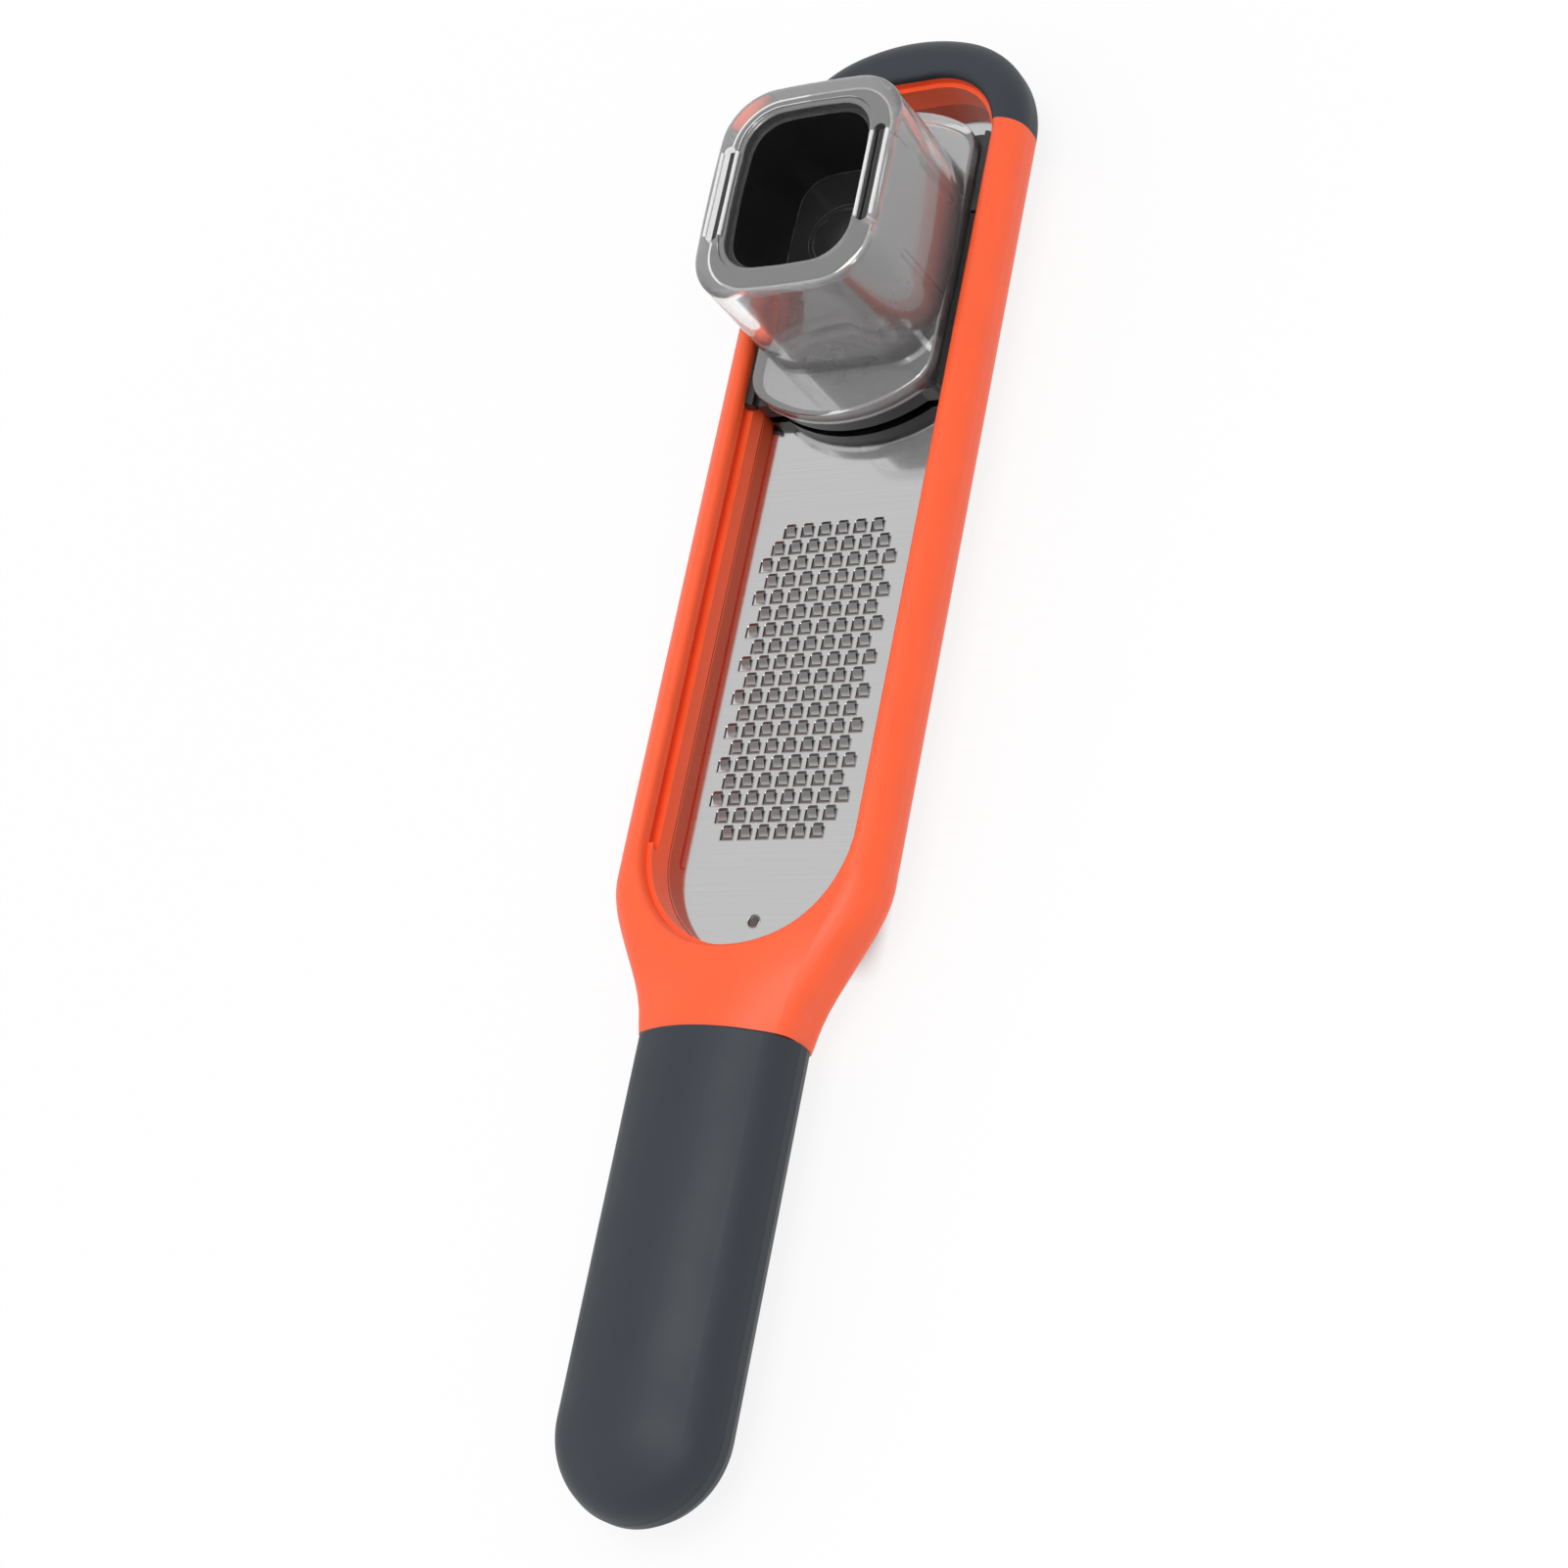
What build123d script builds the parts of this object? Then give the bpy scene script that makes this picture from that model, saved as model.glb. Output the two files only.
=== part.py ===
from build123d import *
from math import atan2, degrees
import os

# Rasp zester with a food holder that slides on its rails. Millimetres, +Z up, the tip points along +Y.
# It lies on its back: z is 0 on the table, x is 0 on the centre line, y is 0 half way along the tool.

# Whole tool
overall_length = 309.2
frame_width = 58.6
grip_length = 89.5
grip_width = 34.4
grip_thickness = 22.0
blade_below_grip_middle = 1.3

# Rails and neck
rail_rise = 9.5
rail_depth = 14.2
rail_crown = 0.4
rail_top_round = 5.9
rail_bottom_round = 6.0
rail_edge_round = 1.5
neck_length = 36.0
neck_step = 0.6
neck_crown = 5.4
neck_round = 4.2

# Opening between the rails, with a runner groove in each wall
rail_width = 7.0
lip_setback = 1.0
lip_edge_share = 0.25
lip_top_share = 0.985
groove_floor = 4.0
groove_height = 2.1
groove_depth = 2.7
groove_run_past_bend = 2.0
groove_past_cap_edge = 1.5
pan_setback = 40.0
arch_side_share = 0.80
arch_tip_share = 1.43
arch_width = 12.7
arch_corner = 15.0

# Tang inside the grip
tang_length = 60.0
tang_width = 21.0
tang_thickness = 9.0
tang_end_round = 6.0
tang_edge_round = 2.0
bond_gap = 0.08

# Grip
grip_band_height = 2.3
grip_top_side_draw = 1.2
grip_top_side_height = 4.6
grip_bottom_side_draw = 1.4
grip_bottom_side_height = 3.8
grip_top_round = 8.0
grip_bottom_round = 5.0
grip_flat_width = 12.0
grip_rim_round = 0.5

# Tip cap
cap_length = 24.7
cap_wall = 2.2
cap_top_wall = 1.8
foot_width = 5.0
foot_inset = 2.4
foot_span = 40.0
foot_round = 1.2

# Blade and its teeth
blade_thickness = 0.5
blade_seat = 1.5
blade_seat_gap = 0.1
tooth_pitch = 4.0
row_pitch = 3.62
tooth_hole_width = 2.9
tooth_hole_length = 2.3
tooth_width = 1.9
tooth_rise = 0.6
tooth_ramp = 0.9
tooth_reach = 1.5
tooth_dip = 0.5
tooth_metal = 0.3
row_counts = [6] + [7, 8] * 8 + [7, 6]
last_row_from_hole = 17.9
hang_hole_diameter = 2.4
hang_hole_from_end = 7.3

# Holder: base with runners and chute, clear pusher cap, pusher cup
slide_gap = 0.3
holder_from_tip = 55.3
flange_length = 71.0
flange_side_gap = 1.5
flange_end_radius = 31.0
flange_corner = 8.0
flange_top = 9.4
flange_thickness = 2.2
skirt_wall = 1.8
skirt_height = 1.6
flange_edge_round = 0.7
base_gap = 0.6
base_inset = 1.0
runner_length = 59.0
runner_top = 6.7
runner_finger_length = 20.0
runner_slit = 0.5
runner_finger_drop = 0.5
runner_corner = 2.5
runner_corner_share = 0.9
tube_length = 49.0
tube_draft = 0.1
tube_wall = 2.4
tube_bow = 0.9
tube_corner_share = 0.55
rim_height = 37.8
rim_thickness = 2.5
rim_round = 1.9
rim_border = 5.2
rim_step = 0.6
well_reveal = 0.8
well_edge_round = 0.4
clip_slot_length = 22.0
clip_slot_width = 2.6
clip_tab_gap = 0.8
clip_from_well = 2.6
clip_tab_height = 1.5
chute_wall = 1.5
chute_below_cup_rim = 0.4
chute_slit_width = 1.0
chute_slit_spacing = 20.8
chute_slit_top = 24.5
chute_slit_bottom = 10.0
cup_rim_thickness = 1.2
cup_gap = 0.4
cup_wall = 2.6
cup_draw = 1.6
cup_floor = 18.0
cup_floor_thickness = 2.2
cup_ring_radius = 7.5
cup_ring_width = 1.0
cup_ring_height = 0.4
cup_rim_inset = 0.4
prong_columns = 3
prong_rows = 4
prong_pitch = 7.5
prong_length = 11.5
prong_root = 3.0
prong_tip = 1.2

overrun = 5.0

# Shares along the neck, from the grip's collar to the rails: place, width and thickness of each section
neck_shares = [
    (0.0, 0.0, 0.0),
    (0.07, 0.05, 0.04),
    (0.22, 0.18, 0.18),
    (0.39, 0.43, 0.46),
    (0.56, 0.70, 0.74),
    (0.74, 0.93, 0.94),
    (0.90, 1.0, 1.0),
    (1.0, 1.0, 1.0),
]

# Places worked out from the sizes
channel_width = frame_width - 2 * rail_width
lip_wall = rail_width - lip_setback
top_round = min(rail_top_round, lip_wall * lip_top_share)
edge_round = min(rail_edge_round, lip_wall * lip_edge_share)
flange_width = channel_width - 2 * flange_side_gap
tip_y = overall_length / 2
handle_y = -overall_length / 2
collar_y = handle_y + grip_length
rails_y = collar_y + neck_length
arch_side_radius = arch_side_share * frame_width / 2
arch_tip_radius = arch_tip_share * frame_width / 2
arch_run = arch_tip_radius - arch_side_radius
arch_side_x = frame_width / 2 - arch_side_radius
arch_fall = (arch_run ** 2 - arch_side_x ** 2) ** (1 / 2)
arch_bend = degrees(atan2(arch_fall, arch_side_x))
arch_y = tip_y - arch_tip_radius + arch_fall
pan_y = collar_y + pan_setback
opening_tip_y = tip_y - arch_width
opening_end_y = pan_y - channel_width / 2
cap_y = tip_y - cap_length
grip_middle = grip_thickness / 2
steel = grip_middle - blade_below_grip_middle
rail_top = steel + rail_rise
rail_bottom = rail_top - rail_depth
hole_y = opening_end_y + hang_hole_from_end
last_row_y = hole_y + last_row_from_hole
holder_y = tip_y - holder_from_tip
base_bottom = steel + tooth_rise + base_gap
base_top = steel + flange_top - flange_thickness - skirt_height
rim_under = steel + rim_height - rim_thickness


def upright(y):
    """Plane across the tool at y, with its own x along +X and its own y along +Z."""
    return Plane(origin=(0, y, 0), x_dir=(1, 0, 0), z_dir=(0, -1, 0))


def flat(z):
    """Level plane at height z."""
    return Plane(origin=(0, 0, z), x_dir=(1, 0, 0), z_dir=(0, 0, 1))


def crowned(half_width, top, bottom, crown):
    """Closed cross-section with a crowned top and bottom and upright sides."""
    upper = top - crown
    lower = bottom + crown
    edges = [
        ThreePointArc((-half_width, upper), (0, top), (half_width, upper)),
        Line((half_width, upper), (half_width, lower)),
        ThreePointArc((half_width, lower), (0, bottom), (-half_width, lower)),
        Line((-half_width, lower), (-half_width, upper)),
    ]
    return make_face(edges)


def rail_section(half_width, top, bottom, crown, upper_round, lower_round):
    """Cross-section of the frame: the crowned one with rounded corners."""
    middle = (top + bottom) / 2
    face = crowned(half_width, top, bottom, crown)
    face = fillet([v for v in face.vertices() if v.Y > middle], upper_round)
    return fillet([v for v in face.vertices() if v.Y < middle and is_corner(v, half_width)], lower_round)


def is_corner(vertex, half_width):
    """True for a vertex that lies on the outermost upright of a section."""
    return abs(abs(vertex.X) - half_width) < bond_gap


def half_of(face, half_width):
    """The +X half of a symmetric section."""
    left = Pos(-half_width, 0) * Rectangle(2 * half_width, 4 * overall_length)
    return face - left


def paddle_outline(inset):
    """Plan outline of rails and arch, drawn in by an inset: straight sides, side arcs, a flatter tip arc."""
    half = frame_width / 2 - inset
    side = Line((half, rails_y), (half, arch_y))
    bend = JernArc(side @ 1, side % 1, arch_side_radius - inset, arch_bend)
    turn = bend @ 1
    tip = ThreePointArc(turn, (0, tip_y - inset), (-turn.X, turn.Y))
    left = [mirror(edge, about=Plane.YZ) for edge in (side, bend)]
    return make_face([side, bend, tip, Line((-half, rails_y), (half, rails_y))] + left)


def paddle(inset, top, bottom, upper_round, lower_round):
    """Crowned slab in the outline of rails and arch, with its upper and lower edges rounded."""
    middle = (top + bottom) / 2
    section = crowned(frame_width / 2 - inset, top, bottom, rail_crown)
    slab = extrude(upright(rails_y) * section, amount=tip_y + overrun - rails_y, dir=(0, 1, 0))
    body = slab & extrude(flat(bottom - overrun) * paddle_outline(inset), amount=top - bottom + 2 * overrun)
    upper = [e for e in body.edges() if e.bounding_box().min.Z > middle and is_past_neck(e)]
    body = fillet(upper, upper_round)
    lower = [e for e in body.edges() if e.bounding_box().max.Z < middle and is_past_neck(e)]
    return fillet(lower, lower_round)


def is_past_neck(edge):
    """True for an edge that reaches on from the neck's end."""
    return edge.bounding_box().max.Y > rails_y + bond_gap


def neck():
    """Neck from the grip's collar out to the rails, lofted through crowned sections."""
    collar_half = grip_width / 2 - neck_step
    collar_top = grip_thickness - neck_step
    collar_bottom = neck_step
    sections = []
    for place, width, thick in neck_shares:
        half = collar_half + width * (frame_width / 2 - collar_half)
        top = collar_top + thick * (rail_top - collar_top)
        bottom = collar_bottom + thick * (rail_bottom - collar_bottom)
        crown = neck_crown + thick * (rail_crown - neck_crown)
        upper_round = neck_round + thick * (top_round - neck_round)
        lower_round = neck_round + thick * (rail_bottom_round - neck_round)
        plane = upright(collar_y + place * neck_length)
        sections.append(plane * rail_section(half, top, bottom, crown, upper_round, lower_round))
    return loft(sections)


def opening_outline(grow):
    """Plan outline of the opening, grown all round: half-round at the pan, rounded corners at the tip."""
    half = channel_width / 2 + grow
    far = opening_tip_y + grow
    block = Pos(0, (pan_y + far) / 2) * Rectangle(2 * half, far - pan_y)
    corners = block.vertices().group_by(Axis.Y)[-1]
    return fillet(corners, arch_corner + grow) + Pos(0, pan_y) * Circle(half)


def opened(body):
    """The body with the opening cut through it and the opening's upper edge rounded."""
    reach = grip_thickness + overrun
    body -= extrude(flat(-overrun) * opening_outline(0), amount=reach + overrun)
    lip = steel + groove_floor + groove_height
    body -= extrude(flat(lip) * opening_outline(lip_setback), amount=reach)
    half = channel_width / 2 + lip_setback
    rim = [e for e in body.edges() if on_lip(e, half)]
    return fillet(rim, edge_round)


def on_lip(edge, half):
    """True for an edge of the lip's upper rim."""
    box = edge.bounding_box()
    low = steel + groove_floor + groove_height + bond_gap
    inside = max(abs(box.min.X), abs(box.max.X)) < half + bond_gap
    within = box.max.Y < opening_tip_y + lip_setback + bond_gap and box.min.Y > pan_y - half - bond_gap
    return box.min.Z > low and inside and within


def whole_paddle():
    """Rails and arch as they look outside, tip cap included."""
    return opened(paddle(0, rail_top, rail_bottom, top_round, rail_bottom_round))


def arch_core(gap):
    """What the tip cap is moulded over: the arch, thinner all round by the cap's walls less a gap."""
    top = rail_top - cap_top_wall + gap
    bottom = rail_bottom + cap_wall - gap
    return paddle(cap_wall - gap, top, bottom, top_round - cap_wall, rail_bottom_round - cap_wall)


def tip_block():
    """All space beyond the cap's edge."""
    length = tip_y + overrun - cap_y
    place = Pos(0, cap_y + length / 2, grip_middle)
    return place * Box(2 * frame_width, length, 4 * grip_thickness)


def tang(gap):
    """Flat tang inside the grip, grown by a gap all round."""
    length = tang_length + gap
    outline = Pos(0, collar_y - length / 2) * Rectangle(tang_width + 2 * gap, length)
    outline = fillet(outline.vertices().group_by(Axis.Y)[0], tang_end_round)
    low = grip_middle - tang_thickness / 2 - gap
    bar = extrude(flat(low) * outline, amount=tang_thickness + 2 * gap)
    long_edges = bar.edges().filter_by(Axis.Y)
    return fillet(long_edges, tang_edge_round)


def groove(side):
    """Runner groove in one rail's inner wall, with a round end."""
    start = pan_y - groove_run_past_bend
    end = cap_y + groove_past_cap_edge
    middle = steel + groove_floor + groove_height / 2
    plane = Plane(origin=(0, 0, 0), x_dir=(0, 1, 0), z_dir=(1, 0, 0))
    profile = Pos((start + end) / 2, middle) * SlotOverall(end - start, groove_height)
    inner = channel_width / 2 - overrun
    bar = extrude(plane * profile, amount=groove_depth + overrun)
    place = inner if side > 0 else -inner - groove_depth - overrun
    return Pos(place, 0, 0) * bar


def frame():
    """Orange moulding: rails, arch core, neck and tang, with the runner grooves and the blade's slot."""
    body = whole_paddle() - (tip_block() - arch_core(0))
    body += opened(neck())
    body += tang(0)
    for side in (-1, 1):
        body -= groove(side)
    seat = opening_outline(blade_seat + blade_seat_gap)
    body -= extrude(flat(steel - blade_thickness) * seat, amount=blade_thickness)
    return body


def foot():
    """Front foot: an arc-shaped pad below the arch, down to the table."""
    ring = paddle_outline(foot_inset) - paddle_outline(foot_inset + foot_width)
    window = Pos(0, tip_y) * Rectangle(foot_span, 2 * (tip_y - arch_y))
    pad = extrude(flat(0) * (ring & window), amount=rail_bottom + cap_wall / 2)
    low_edges = pad.edges().group_by(Axis.Z)[0]
    return fillet(low_edges, foot_round)


def tip_cap():
    """Soft cap over the arch, with the foot below it."""
    shell = (whole_paddle() & tip_block()) - arch_core(bond_gap)
    return shell + (foot() - arch_core(bond_gap))


def grip_section():
    """Cross-section of the grip: crowned top, narrow upright band at the parting, flat-bottomed belly."""
    half = grip_width / 2
    band_top = grip_middle - blade_below_grip_middle + grip_band_height
    band_low = band_top - grip_band_height
    top_half = half - grip_top_side_draw
    low_half = half - grip_bottom_side_draw
    shoulder = band_top + grip_top_side_height
    belly = band_low - grip_bottom_side_height
    right = [
        Line((0, 0), (grip_flat_width / 2, 0)),
        Line((grip_flat_width / 2, 0), (low_half, belly)),
        Line((low_half, belly), (half, band_low)),
        Line((half, band_low), (half, band_top)),
        Line((half, band_top), (top_half, shoulder)),
    ]
    crown = ThreePointArc((top_half, shoulder), (0, grip_thickness), (-top_half, shoulder))
    left = [mirror(edge, about=Plane.YZ) for edge in right]
    face = make_face(right + [crown] + left)
    face = fillet([v for v in face.vertices() if abs(v.Y - shoulder) < bond_gap], grip_top_round)
    return fillet([v for v in face.vertices() if is_belly(v, belly)], grip_bottom_round)


def is_belly(vertex, belly):
    """True for the four lower corners of the grip's section."""
    return vertex.Y < belly + bond_gap and abs(vertex.X) > bond_gap


def handle_grip():
    """Soft grip: straight body with a half-turned end, hollow where the tang is."""
    section = grip_section()
    turn_y = handle_y + grip_width / 2
    body = extrude(upright(turn_y) * section, amount=collar_y - turn_y, dir=(0, 1, 0))
    collar_edges = body.edges().group_by(Axis.Y)[-1]
    body = fillet(collar_edges, grip_rim_round)
    turn = Axis((0, turn_y, 0), (0, 0, 1))
    end = revolve(upright(turn_y) * half_of(section, grip_width / 2), axis=turn, revolution_arc=-180)
    return body + end - tang(bond_gap)


def tooth():
    """One raised tooth: a ramp up to a sharp crest, then a tongue that dips into its hole."""
    points = [
        (tooth_ramp, 0),
        (0, tooth_rise),
        (-tooth_reach, -tooth_dip),
        (-tooth_reach, -tooth_dip - tooth_metal),
        (0, -blade_thickness),
        (tooth_ramp, -blade_thickness),
    ]
    side = Plane(origin=(-tooth_width / 2, 0, 0), x_dir=(0, 1, 0), z_dir=(1, 0, 0))
    return extrude(side * make_face(Polyline(*points, close=True)), amount=tooth_width)


def tooth_places():
    """Place of each tooth: rows up from the last one, each row centred."""
    places = []
    for row, count in enumerate(reversed(row_counts)):
        y = last_row_y + row * row_pitch
        for column in range(count):
            x = (column - (count - 1) / 2) * tooth_pitch
            places.append((x, y))
    return places


def blade():
    """Flat steel sheet with a hole and a tooth at each place of the pattern."""
    places = tooth_places()
    holes = [Pos(x, y) * Rectangle(tooth_hole_width, tooth_hole_length) for x, y in places]
    sheet = opening_outline(blade_seat) - holes
    sheet -= Pos(0, hole_y) * Circle(hang_hole_diameter / 2)
    plate = extrude(flat(steel - blade_thickness) * sheet, amount=blade_thickness)
    root = tooth_hole_length / 2
    one = tooth()
    teeth = [Pos(x, y + root, steel) * one for x, y in places]
    return plate.fuse(*teeth)


def bowed(half_x, half_y):
    """Rounded rectangle with slightly bowed sides and corners that follow its width."""
    side_x = half_x - tube_bow
    side_y = half_y - tube_bow
    edges = [
        ThreePointArc((side_x, -side_y), (half_x, 0), (side_x, side_y)),
        ThreePointArc((side_x, side_y), (0, half_y), (-side_x, side_y)),
        ThreePointArc((-side_x, side_y), (-half_x, 0), (-side_x, -side_y)),
        ThreePointArc((-side_x, -side_y), (0, -half_y), (side_x, -side_y)),
    ]
    face = make_face(edges)
    return fillet(face.vertices(), tube_corner_share * half_x)


def holder_prism(outline, low, high):
    """Upright prism on the holder's centre."""
    return extrude(flat(low) * (Pos(0, holder_y) * outline), amount=high - low)


def holder_taper(low_outline, low, high_outline, high):
    """Straight-sided loft between two outlines on the holder's centre."""
    shift = Pos(0, holder_y)
    return loft([flat(low) * (shift * low_outline), flat(high) * (shift * high_outline)], ruled=True)


def flange_outline(inset):
    """Long oval of the flange, drawn in by an inset: arched ends on straight sides."""
    half_x = flange_width / 2 - inset
    half_y = flange_length / 2 - inset
    radius = flange_end_radius - inset
    drop = radius - (radius ** 2 - half_x ** 2) ** (1 / 2)
    side = half_y - drop
    edges = [
        Line((half_x, -side), (half_x, side)),
        ThreePointArc((half_x, side), (0, half_y), (-half_x, side)),
        Line((-half_x, side), (-half_x, -side)),
        ThreePointArc((-half_x, -side), (0, -half_y), (half_x, -side)),
    ]
    face = make_face(edges)
    return fillet(face.vertices(), flange_corner - inset)


tube_half_x = flange_width / 2
tube_half_y = tube_length / 2
bore_half_x = tube_half_x - tube_wall
bore_half_y = tube_half_y - tube_wall
chute_half_x = bore_half_x - slide_gap
chute_half_y = bore_half_y - slide_gap
inner_half_x = chute_half_x - chute_wall
inner_half_y = chute_half_y - chute_wall
cup_half_x = inner_half_x - cup_gap
cup_half_y = inner_half_y - cup_gap
well_half_x = cup_half_x - cup_wall + well_reveal
well_half_y = cup_half_y - cup_wall + well_reveal
clip_x = well_half_x + clip_from_well


def runner(side):
    """One runner: an upright beside the flange and a tongue in the groove, with a finger between two slits."""
    low = steel + groove_floor + slide_gap
    inner = flange_width / 2 + slide_gap
    outer = channel_width / 2 + lip_setback - slide_gap
    reach = channel_width / 2 + groove_depth - slide_gap
    tongue_top = steel + groove_floor + groove_height - slide_gap
    wall = Pos((inner + outer) / 2, 0) * Rectangle(outer - inner, runner_length)
    corner = min(runner_corner, (outer - inner) * runner_corner_share)
    wall = fillet(wall.vertices().group_by(Axis.X)[-1], corner)
    body = holder_prism(wall, low, steel + runner_top)
    tongue = Pos((inner + reach) / 2, 0) * Rectangle(reach - inner, runner_length)
    tongue = fillet(tongue.vertices().group_by(Axis.X)[-1], runner_corner)
    body += holder_prism(tongue, low, tongue_top)
    middle = Rectangle(2 * reach, runner_finger_length)
    body -= holder_prism(middle, steel + runner_top - runner_finger_drop, steel + runner_top + overrun)
    for end in (-1, 1):
        place = end * (runner_finger_length + runner_slit) / 2
        slit = Pos(inner + reach, place) * Rectangle(2 * reach, runner_slit)
        body -= holder_prism(slit, low - overrun, steel + runner_top + overrun)
    return body if side > 0 else mirror(body, about=Plane.YZ)


def carriage():
    """Black base of the holder: a plate over the blade, a runner on each side and the chute for the food."""
    plate = flange_outline(base_inset)
    half = channel_width / 2 - slide_gap
    sides = Rectangle(2 * half, runner_length)
    plate += fillet(sides.vertices(), runner_corner)
    body = holder_prism(plate, base_bottom, base_top)
    chute = bowed(chute_half_x, chute_half_y)
    chute_top = rim_under - cup_rim_thickness - chute_below_cup_rim
    body += holder_prism(chute, base_bottom, chute_top)
    for side in (-1, 1):
        body += runner(side)
    bore = bowed(inner_half_x, inner_half_y)
    body -= holder_prism(bore, base_bottom - overrun, chute_top + overrun)
    for end in (-1, 1):
        slit = Pos(0, end * chute_slit_spacing / 2) * Rectangle(flange_width, chute_slit_width)
        body -= holder_prism(slit, steel + chute_slit_bottom, steel + chute_slit_top)
    return body


def pusher_cap():
    """Clear cap: flange with a skirt, tube over the chute, and a broad rim with two clip slots."""
    foot_outline = bowed(tube_half_x, tube_half_y)
    rim_outline = bowed(tube_half_x - tube_draft, tube_half_y - tube_draft)
    top = steel + rim_height
    tube = holder_taper(foot_outline, base_top, rim_outline, top)
    tube = fillet(tube.edges().group_by(Axis.Z)[-1], rim_round)
    plate = holder_prism(flange_outline(0), base_top, steel + flange_top)
    plate = fillet(plate.edges().group_by(Axis.Z)[-1], flange_edge_round)
    hollow = flange_outline(skirt_wall) - foot_outline
    plate -= holder_prism(hollow, base_top, base_top + skirt_height)
    body = plate + tube
    bore = bowed(bore_half_x, bore_half_y)
    body -= holder_prism(bore, base_top - overrun, rim_under)
    step_x = tube_half_x - tube_draft - rim_border
    step_y = tube_half_y - tube_draft - rim_border
    step = bowed(step_x, step_y)
    body -= holder_prism(step, top - rim_step, top + overrun)
    well = bowed(well_half_x, well_half_y)
    body -= holder_prism(well, rim_under - overrun, top + overrun)
    brim = [e for e in body.edges() if is_well_edge(e, top - rim_step)]
    body = fillet(brim, well_edge_round)
    for side in (-1, 1):
        slot = Pos(side * clip_x, 0) * SlotOverall(clip_slot_length, clip_slot_width, rotation=90)
        body -= holder_prism(slot, rim_under - overrun, top + overrun)
    return body


def is_well_edge(edge, level):
    """True for an edge of the well's mouth at a level."""
    box = edge.bounding_box()
    inside = max(abs(box.min.X), abs(box.max.X)) < well_half_x + bond_gap
    return inside and abs(box.min.Z - level) < bond_gap and abs(box.max.Z - level) < bond_gap


def prong():
    """One holding prong, a cone that points down from its root."""
    cone = Cone(prong_tip / 2, prong_root / 2, prong_length)
    return Pos(0, 0, -prong_length / 2) * cone


def pusher_cup():
    """Black cup clipped under the rim: rim plate with two tabs, drawn-in well, floor ring and prongs."""
    rim_plate = bowed(bore_half_x - cup_rim_inset, bore_half_y - cup_rim_inset)
    body = holder_prism(rim_plate, rim_under - cup_rim_thickness, rim_under)
    floor_z = steel + cup_floor
    under = floor_z - cup_floor_thickness
    high = bowed(cup_half_x, cup_half_y)
    low = bowed(cup_half_x - cup_draw, cup_half_y - cup_draw)
    body += holder_taper(low, under, high, rim_under - cup_rim_thickness / 2)
    well_high = bowed(cup_half_x - cup_wall, cup_half_y - cup_wall)
    well_low = bowed(cup_half_x - cup_wall - cup_draw, cup_half_y - cup_wall - cup_draw)
    body -= holder_taper(well_low, floor_z, well_high, rim_under)
    ring = Circle(cup_ring_radius) - Circle(cup_ring_radius - cup_ring_width)
    body += holder_prism(ring, floor_z - cup_ring_height, floor_z + cup_ring_height)
    tab = Rectangle(clip_slot_width - 2 * clip_tab_gap, clip_slot_length - 2 * clip_tab_gap)
    tab_low = rim_under - cup_rim_thickness
    for side in (-1, 1):
        body += holder_prism(Pos(side * clip_x, 0) * tab, tab_low, rim_under + clip_tab_height)
    spots = GridLocations(prong_pitch, prong_pitch, prong_columns, prong_rows)
    prongs = [Pos(0, holder_y, under) * spot * prong() for spot in spots]
    return body.fuse(*prongs)


makers = {
    "frame": frame,
    "blade": blade,
    "handle_grip": handle_grip,
    "tip_cap": tip_cap,
    "carriage": carriage,
    "pusher_cap": pusher_cap,
    "pusher_cup": pusher_cup,
}

os.makedirs("parts", exist_ok=True)
for name, make in makers.items():
    shape = make()
    export_step(shape, f"parts/{name}.step")
    print(name, len(shape.solids()), "solid, volume", round(shape.volume, 1))
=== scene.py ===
# %% [markdown]
# # A rasp zester with a sliding food holder
# A zester like this is a sheet of steel with small teeth, held between two plastic rails that grow out of
# a grip. A holder with a clear pusher runs along the rails and keeps fingertips away from the teeth.
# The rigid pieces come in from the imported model, at their real size and in metres, so this notebook only
# has to dress them: a camera, light, materials, and the fine pieces that are too small for the solid model.

# %% Load the frame
import bpy
from math import pi
from mathutils import Matrix, Vector


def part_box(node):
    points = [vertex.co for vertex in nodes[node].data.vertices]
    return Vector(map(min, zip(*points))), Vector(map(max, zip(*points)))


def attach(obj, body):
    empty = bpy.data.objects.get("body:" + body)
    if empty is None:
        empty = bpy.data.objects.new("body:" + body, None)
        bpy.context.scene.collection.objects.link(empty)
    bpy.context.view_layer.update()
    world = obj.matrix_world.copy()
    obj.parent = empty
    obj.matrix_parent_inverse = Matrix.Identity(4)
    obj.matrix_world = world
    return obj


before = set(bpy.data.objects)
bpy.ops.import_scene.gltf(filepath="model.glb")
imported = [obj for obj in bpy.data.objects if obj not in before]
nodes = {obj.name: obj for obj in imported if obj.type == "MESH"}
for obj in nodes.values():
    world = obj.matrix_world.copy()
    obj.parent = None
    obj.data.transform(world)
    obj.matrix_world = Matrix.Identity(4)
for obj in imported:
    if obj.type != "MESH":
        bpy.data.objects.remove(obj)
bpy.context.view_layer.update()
print("pieces:", ", ".join(sorted(nodes)))

# %% [markdown]
# ## The camera
# The photograph looks down on the tool from beyond its right side, with the tip at the top. The place of
# the camera was found by matching the straight rows of teeth, which fixes where it stood and how long its
# lens was. We type in the three directions of the camera, because that is exact and needs no aiming object.

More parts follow.
